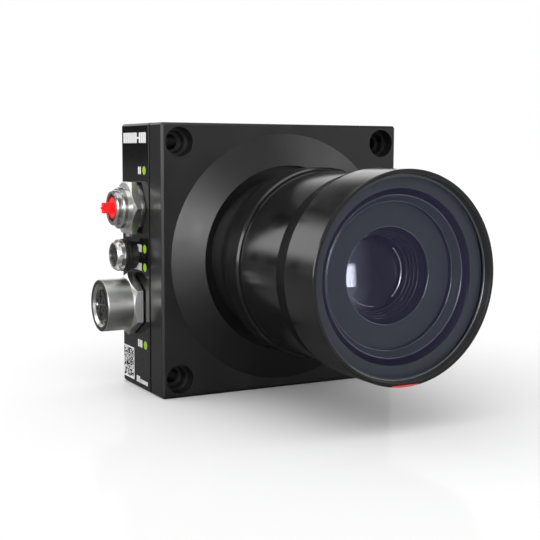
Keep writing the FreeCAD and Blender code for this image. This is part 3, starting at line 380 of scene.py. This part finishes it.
def new_object(name, mesh, material, body="camera", smooth=False):
    piece = bpy.data.objects.new(name, mesh)
    bpy.context.scene.collection.objects.link(piece)
    mesh.materials.append(material)
    for face in mesh.polygons:
        face.use_smooth = smooth
    if body:
        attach(piece, body)
    return piece


def from_bmesh(name, bm, material, body="camera", smooth=False):
    mesh = bpy.data.meshes.new(name)
    bm.normal_update()
    bm.to_mesh(mesh)
    bm.free()
    return new_object(name, mesh, material, body, smooth)


def add_box(bm, low, high):
    size = [h - l for l, h in zip(low, high)]
    centre = [(h + l) / 2 for l, h in zip(low, high)]
    place = Matrix.Translation(centre) @ Matrix.Diagonal((*size, 1))
    bmesh.ops.create_cube(bm, size=1.0, matrix=place)


def add_turned(bm, profile, centre, axis, steps=96):
    """Skin a closed profile of (along, radius) round an axis, in metres."""
    rings = []
    for i in range(steps):
        turn = 2 * math.pi * i / steps
        ring = []
        for along, radius in profile:
            across = (radius * math.cos(turn), radius * math.sin(turn))
            point = [0, 0, 0]
            point[axis] = along
            point[(axis + 1) % 3] = across[0]
            point[(axis + 2) % 3] = across[1]
            ring.append(bm.verts.new([c + p for c, p in zip(centre, point)]))
        rings.append(ring)
    count = len(profile)
    for i in range(steps):
        here, after = rings[i], rings[(i + 1) % steps]
        for j in range(count):
            k = (j + 1) % count
            bm.faces.new((here[j], after[j], after[k], here[k]))


def add_inner_thread(bm, radius, start, end, pitch, depth, centre, axis):
    """Ridges on the wall of a hole, as closely set rings between two places."""
    count = int(abs(end - start) / pitch)
    step = (end - start) / count
    for i in range(count):
        along = start + (i + 0.5) * step
        half = abs(step) * 0.42
        low = radius + 0.02 * MM
        add_turned(bm, [(along - half, low), (along, radius - depth),
                        (along + half, low)], centre, axis, 72)


def add_bead(bm, along, radius, size, arc=None, steps=8):
    """A thin round bead along a circular edge of the lens, or along an arc of it.

    arc is (start, end) in degrees from +X towards +Z."""
    section = []
    for i in range(steps):
        turn = 2 * math.pi * i / steps
        section.append((along + size * math.cos(turn), radius + size * math.sin(turn)))
    if arc is None:
        add_turned(bm, section, (0, 0, 0), 1, 128)
        return
    count = 40
    rings = []
    for i in range(count + 1):
        turn = math.radians(arc[0] + (arc[1] - arc[0]) * i / count)
        rings.append([bm.verts.new((r * math.cos(turn), y, r * math.sin(turn)))
                      for y, r in section])
    for here, after in zip(rings, rings[1:]):
        for j in range(steps):
            k = (j + 1) % steps
            bm.faces.new((here[j], here[k], after[k], after[j]))
    bm.faces.new(rings[0])
    bm.faces.new(list(reversed(rings[-1])))


def bead_piece(name, beads, material, body):
    """Beads (along, radius, size and perhaps an arc) as one piece, in millimetres."""
    bm = bmesh.new()
    for along, radius, size, *arc in beads:
        add_bead(bm, along * MM, radius * MM, size * MM, *arc)
    bmesh.ops.recalc_face_normals(bm, faces=bm.faces)
    from_bmesh(name, bm, material, body, smooth=True)


def ring_piece(name, front, back, inner, outer, material):
    """A flat ring on the lens tube, in millimetres."""
    bm = bmesh.new()
    add_turned(bm, [(front * MM, inner * MM), (front * MM, outer * MM),
                    (back * MM, outer * MM), (back * MM, inner * MM)], (0, 0, 0), 1, 128)
    bmesh.ops.recalc_face_normals(bm, faces=bm.faces)
    from_bmesh(name, bm, material, "lens_tube")


# Beads by piece: along, radius, size and perhaps an arc, in millimetres and degrees
BEADS = (
    ("lens_edges", [(-59.0, 21.05, 0.14), (-56.9, 19.4, 0.10), (-55.4, 12.83, 0.10)],
     EDGE, "front_barrel"),
    ("step_edges", [(-52.5, 11.6, 0.10), (-51.4, 11.15, 0.09), (-50.3, 10.7, 0.08),
                    (-49.2, 10.25, 0.12)], STEP_EDGE, "front_barrel"),
    # Two bright bead arcs on the front lens's rim, only where it shines: painted highlights.
    ("glass_glint_arcs", [(-48.5, 8.95, 0.07, (-138, -86)), (-48.5, 8.95, 0.22, (-48, 46))],
     GLINT_ARC, "front_barrel"),
    ("window_edge", [(-62.05, 26.25, 0.11)], EDGE, "lens_tube"),
)


def lens_edges():
    """Polished edges, bright arcs painted as highlights on the front lens, the seat behind the
    window and the window's bevel.
    """
    for name, beads, material, body in BEADS:
        bead_piece(name, beads, material, body)
    ring_piece("window_seat", -60.36, -60.30, 22.82, 26.5, WINDOW_SEAL)
    ring_piece("window_bevel", -62.07, -62.04, 25.75, 26.2, BEVEL)


def joint_shade_line():
    """A black strip where the front plate meets the housing: partly the dark joint, partly
    painted shade over the inner halves of its chamfers.
    """
    bm = bmesh.new()
    flat = SIDE_X + 0.6 * MM
    near, far = SIDE_X - 0.015 * MM, SIDE_X + 0.02 * MM
    front, back = 8.75 * MM, 9.7 * MM
    for low, high in ((near, far), (-far, -near)):
        add_box(bm, (low, front, flat), (high, back, -flat))
        add_box(bm, (flat, front, low), (-flat, back, high))
    from_bmesh("joint_shade_line", bm, JOINT_SHADE)


def add_mark(bm, y_low, z_low, y_high, z_high):
    """A printed patch on the housing's left face, in millimetres."""
    add_box(bm, (SIDE_X - 0.03 * MM, y_low * MM, z_low * MM),
            (SIDE_X + 0.02 * MM, y_high * MM, z_high * MM))


def add_row(bm, y_start, z_low, widths, height, gap):
    """Plain bars side by side, from the front towards the back."""
    y = y_start
    for width in widths:
        add_mark(bm, y, z_low, y + width, z_low + height)
        y += width + gap


def printed_marks():
    """Plain bars where the housing is printed, and a generic field of blocks."""
    bm = bmesh.new()
    add_row(bm, 11.8, 34.2, [1.15] * 4, 3.1, 0.3)
    add_mark(bm, 17.5, 35.4, 18.7, 36.0)
    add_row(bm, 19.0, 34.2, [1.3] * 7, 3.1, 0.33)
    for light, count in ((26.1, 2), (2.86, 5), (-2.67, 5), (-26.1, 3)):
        add_row(bm, 15.9, light - 1.1, [0.95] * count, 2.2, 0.32)
    add_row(bm, 11.8, -38.3, [0.6] * 7, 1.2, 0.25)
    add_row(bm, 18.0, -38.3, [0.7] * 3, 1.9, 0.3)
    from_bmesh("side_print", bm, PRINT)
    bm = bmesh.new()
    rng = random.Random(4)
    cell, rows, columns = 0.45, 22, 20
    for row in range(rows):
        for column in range(columns):
            edge = row in (0, rows - 1) or column in (0, columns - 1)
            if edge or rng.random() < 0.5:
                y = 22.7 + column * cell
                z = -38.2 + row * cell
                size = cell if edge else 0.8 * cell
                add_mark(bm, y, z, y + size, z + size)
    from_bmesh("side_blocks", bm, PRINT)


def socket_thread():
    """The thread inside the largest socket."""
    bm = bmesh.new()
    pitch, depth = 0.8 * MM, 0.3 * MM
    centre = (0, 22 * MM, -14.4 * MM)
    add_inner_thread(bm, 6.1 * MM, -50.1 * MM, -45.2 * MM, pitch, depth, centre, ALONG_X)
    from_bmesh("socket_thread", bm, NICKEL)


lens_edges()
joint_shade_line()
printed_marks()
socket_thread()


# ---------------------------------------------------------------------------
# Floor, sky and camera
# ---------------------------------------------------------------------------

SKY_EVEN = 0.735
SKY_SIDE = 0.9

# Lit panels: the side they are on, slopes to the centre, half size, level, soft edge
PANELS = (
    ("front", (-0.17, -0.10), (0.22, 0.36), 8.5, 0.03),
    ("front", (1.5, 0.55), (0.75, 0.5), 1.8, 0.05),
    ("behind", (-0.47, 0.31), (0.30, 0.18), 1.9, 0.05),
    ("behind", (0.75, 0.26), (0.85, 0.27), 1.3, 0.05),
    ("left", (-0.45, 0.05), (0.35, 0.45), 5.0, 0.05),
    ("left", (0.95, 0.1), (0.5, 0.7), 3.0, 0.05),
    ("above", (-0.2, 0.1), (0.6, 0.5), 2.0, 0.05),
)

VIEW_PLACE = (-0.15927, -0.28726, 0.03177)
VIEW_ANGLES = (28.25, 6.21, 0.25)    # turn, drop and roll in degrees


def make_floor():
    """White sheet that takes a soft shadow and a faint mirror image; shiny parts see it
    darkened, most from the lens tube's front backwards, as painted shade in what they mirror.
    """
    def build(s):
        grain = s.noise(30.0, 2.0)
        glossy = s.node("LightPath").other("Is Glossy Ray")
        # Painted shade: what shiny parts mirror of the floor darkens towards the housing.
        mirror_shade = s.ramp(s.place()[1], (-170.0, 0.52), (-60.0, 0.84))
        matt = s.node("BsdfDiffuse", None, colour(0.90), 0.0)
        dark = s.node("BsdfDiffuse", None, colour(0.0), 0.0)
        matt = s.node("MixShader", None, glossy * mirror_shade, matt, dark)
        sheen = s.node("BsdfGlossy", None, colour(0.9),
                       s.ramp(grain, (0.3, 0.08), (0.8, 0.11)))
        return s.node("MixShader", None, 0.045, matt, sheen)
    material = new_material("floor_white", build)
    bm = bmesh.new()
    bmesh.ops.create_grid(bm, x_segments=4, y_segments=4, size=6.0,
                          matrix=Matrix.Translation((0, 0, BOTTOM - 0.00002)))
    floor = from_bmesh("floor", bm, material, body=None)


def softbox(s, across, up, centre, half, level, edge):
    """A lit panel in the sky, given in slopes from one of the level directions."""
    inside_x = s.ramp(s.size_of(across - centre[0]), (half[0] - edge, 1), (half[0] + edge, 0))
    inside_z = s.ramp(s.size_of(up - centre[1]), (half[1] - edge, 1), (half[1] + edge, 0))
    return inside_x * inside_z * level


def make_world():
    """Even light for matt surfaces, and softboxes for what shiny ones mirror."""
    world = bpy.data.worlds.new("studio")
    world.use_nodes = True
    bpy.context.scene.world = world
    s = Shader(world.node_tree)
    way = s.node("TexCoord").other("Generated")
    split = s.node("SeparateXYZ", None, way)
    x, y, z = (split.other(axis) for axis in "XYZ")
    front = y.below(-0.02)
    behind = y.above(0.02)
    left = x.below(-0.02)
    ahead = s.size_of(y) + 0.001
    aside = s.size_of(x) + 0.001
    above = z.above(0.02)
    rise = s.size_of(z) + 0.001
    sides = {"front": (x / ahead, z / ahead, front), "behind": (x / ahead, z / ahead, behind),
             "left": (y / aside, z / aside, left), "above": (x / rise, y / rise, above)}
    lit = 0.0
    for side, centre, half, level, edge in PANELS:
        across, up, facing = sides[side]
        lit = softbox(s, across, up, centre, half, level, edge) * facing + lit
    mirrored = lit + front * 0.36 + 0.04
    spread = x * -0.75 + y * -0.25 + z * 0.6
    even = s.ramp(spread, (-0.1, 0.0), (1.0, SKY_SIDE)) + SKY_EVEN
    path = s.node("LightPath")
    seen = path.other("Is Camera Ray")
    glossy = path.other("Is Glossy Ray")
    level = glossy * mirrored + (1 - glossy) * even
    level = seen + (1 - seen) * level
    back = s.node("Background", None, colour(1.0), level)
    s.node("OutputWorld", None, back)


def make_camera():
    """A 72 mm lens on a 36 mm frame, turned 28 degrees to the housing's front."""
    turn, drop, roll = (math.radians(a) for a in VIEW_ANGLES)
    ahead = Vector((math.sin(turn) * math.cos(drop), math.cos(turn) * math.cos(drop),
                    -math.sin(drop)))
    right = Vector((math.cos(turn), -math.sin(turn), 0))
    up = right.cross(ahead)
    side = right * math.cos(roll) + up * math.sin(roll)
    top = up * math.cos(roll) - right * math.sin(roll)
    data = bpy.data.cameras.new("view")
    data.sensor_width = 36
    data.lens = 72.43
    data.clip_start = 0.01
    camera = bpy.data.objects.new("view", data)
    bpy.context.scene.collection.objects.link(camera)
    turn_to = Matrix((side, top, -ahead)).transposed().to_4x4()
    camera.matrix_world = Matrix.Translation(VIEW_PLACE) @ turn_to
    bpy.context.scene.camera = camera


make_floor()
make_world()
make_camera()
bpy.context.scene.view_settings.view_transform = "Standard"
